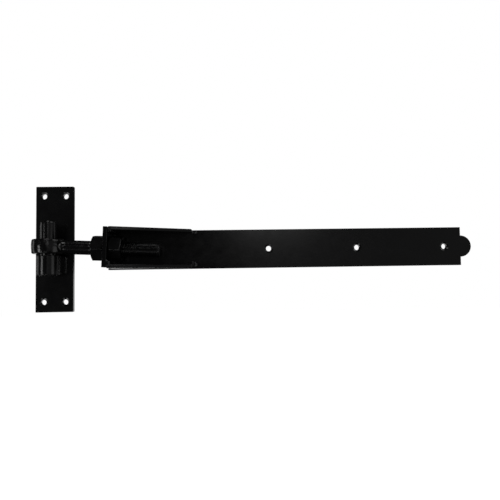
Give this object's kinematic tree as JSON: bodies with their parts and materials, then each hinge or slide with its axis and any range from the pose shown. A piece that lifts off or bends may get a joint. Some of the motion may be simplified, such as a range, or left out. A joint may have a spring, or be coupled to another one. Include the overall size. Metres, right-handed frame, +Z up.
{
  "type": "adjustable gate hinge",
  "caption": "Adjustable hook-and-band gate hinge: eye bolt on a plate-mounted pin, clamped by nuts in a welded pocket on a long flat band.",
  "frame": {"origin": "middle of the post plate's back face, where it rests on the post", "axes": "+X along the gate band away from the pin, +Y into the post, +Z up along the hinge pin"},
  "size_m": [0.5693, 0.052, 0.163],
  "materials": {
    "plate_paint": "satin black paint on flat steel plate",
    "band_paint": "satin black paint on flat steel bar",
    "forged_paint": "semi-gloss black paint on forged steel",
    "nut_paint": "semi-gloss black paint on steel hexagon nuts",
    "weld_paint": "semi-gloss black paint over rippled weld beads"
  },
  "bodies": {
    "post_side": {"post_plate": "plate_paint", "pin_saddle": "plate_paint", "hinge_pin": "forged_paint", "saddle_weld_left": "weld_paint", "saddle_weld_right": "weld_paint", "pin_weld": "weld_paint"},
    "bolt": {"eye_bolt": "forged_paint"},
    "gate_side": {"gate_band": "band_paint", "end_plate": "band_paint", "upper_wall": "band_paint", "lower_wall": "band_paint", "end_plate_weld_upper": "weld_paint", "end_plate_weld_lower": "weld_paint", "upper_corner_weld": "weld_paint", "lower_corner_weld": "weld_paint", "upper_cap_weld": "weld_paint", "lower_cap_weld": "weld_paint", "upper_seam_weld": "weld_paint", "lower_seam_weld": "weld_paint", "upper_toe_weld": "weld_paint", "lower_toe_weld": "weld_paint"},
    "nut_inside": {"inner_nut": "nut_paint"},
    "nut_outside": {"outer_nut": "nut_paint"}
  },
  "joints": [
    {"name": "gate_swing", "type": "hinge", "parent": "post_side", "child": "bolt", "pos_m": [0, -0.031, 0.0015], "axis": [0, 0, -1], "range_deg": [-25, 180]},
    {"name": "band_adjust", "type": "slide", "parent": "bolt", "child": "gate_side", "axis": [0.9991, 0, -0.0419], "range_m": [0, 0.0451]},
    {"name": "inner_nut_turn", "type": "hinge", "parent": "gate_side", "child": "nut_inside", "pos_m": [0.08438, -0.031, -0.00204], "axis": [0.9991, 0, -0.0419], "range_deg": [0, 6480]},
    {"name": "outer_nut_turn", "type": "hinge", "parent": "gate_side", "child": "nut_outside", "pos_m": [0.06299, -0.031, -0.00114], "axis": [0.9991, 0, -0.0419], "range_deg": [0, 6490]}
  ],
  "couplings": [
    {"joint": "band_adjust", "follows": "inner_nut_turn", "m_per_rad": 0.00039789},
    {"joint": "outer_nut_turn", "follows": "inner_nut_turn", "ratio": 1}
  ]
}
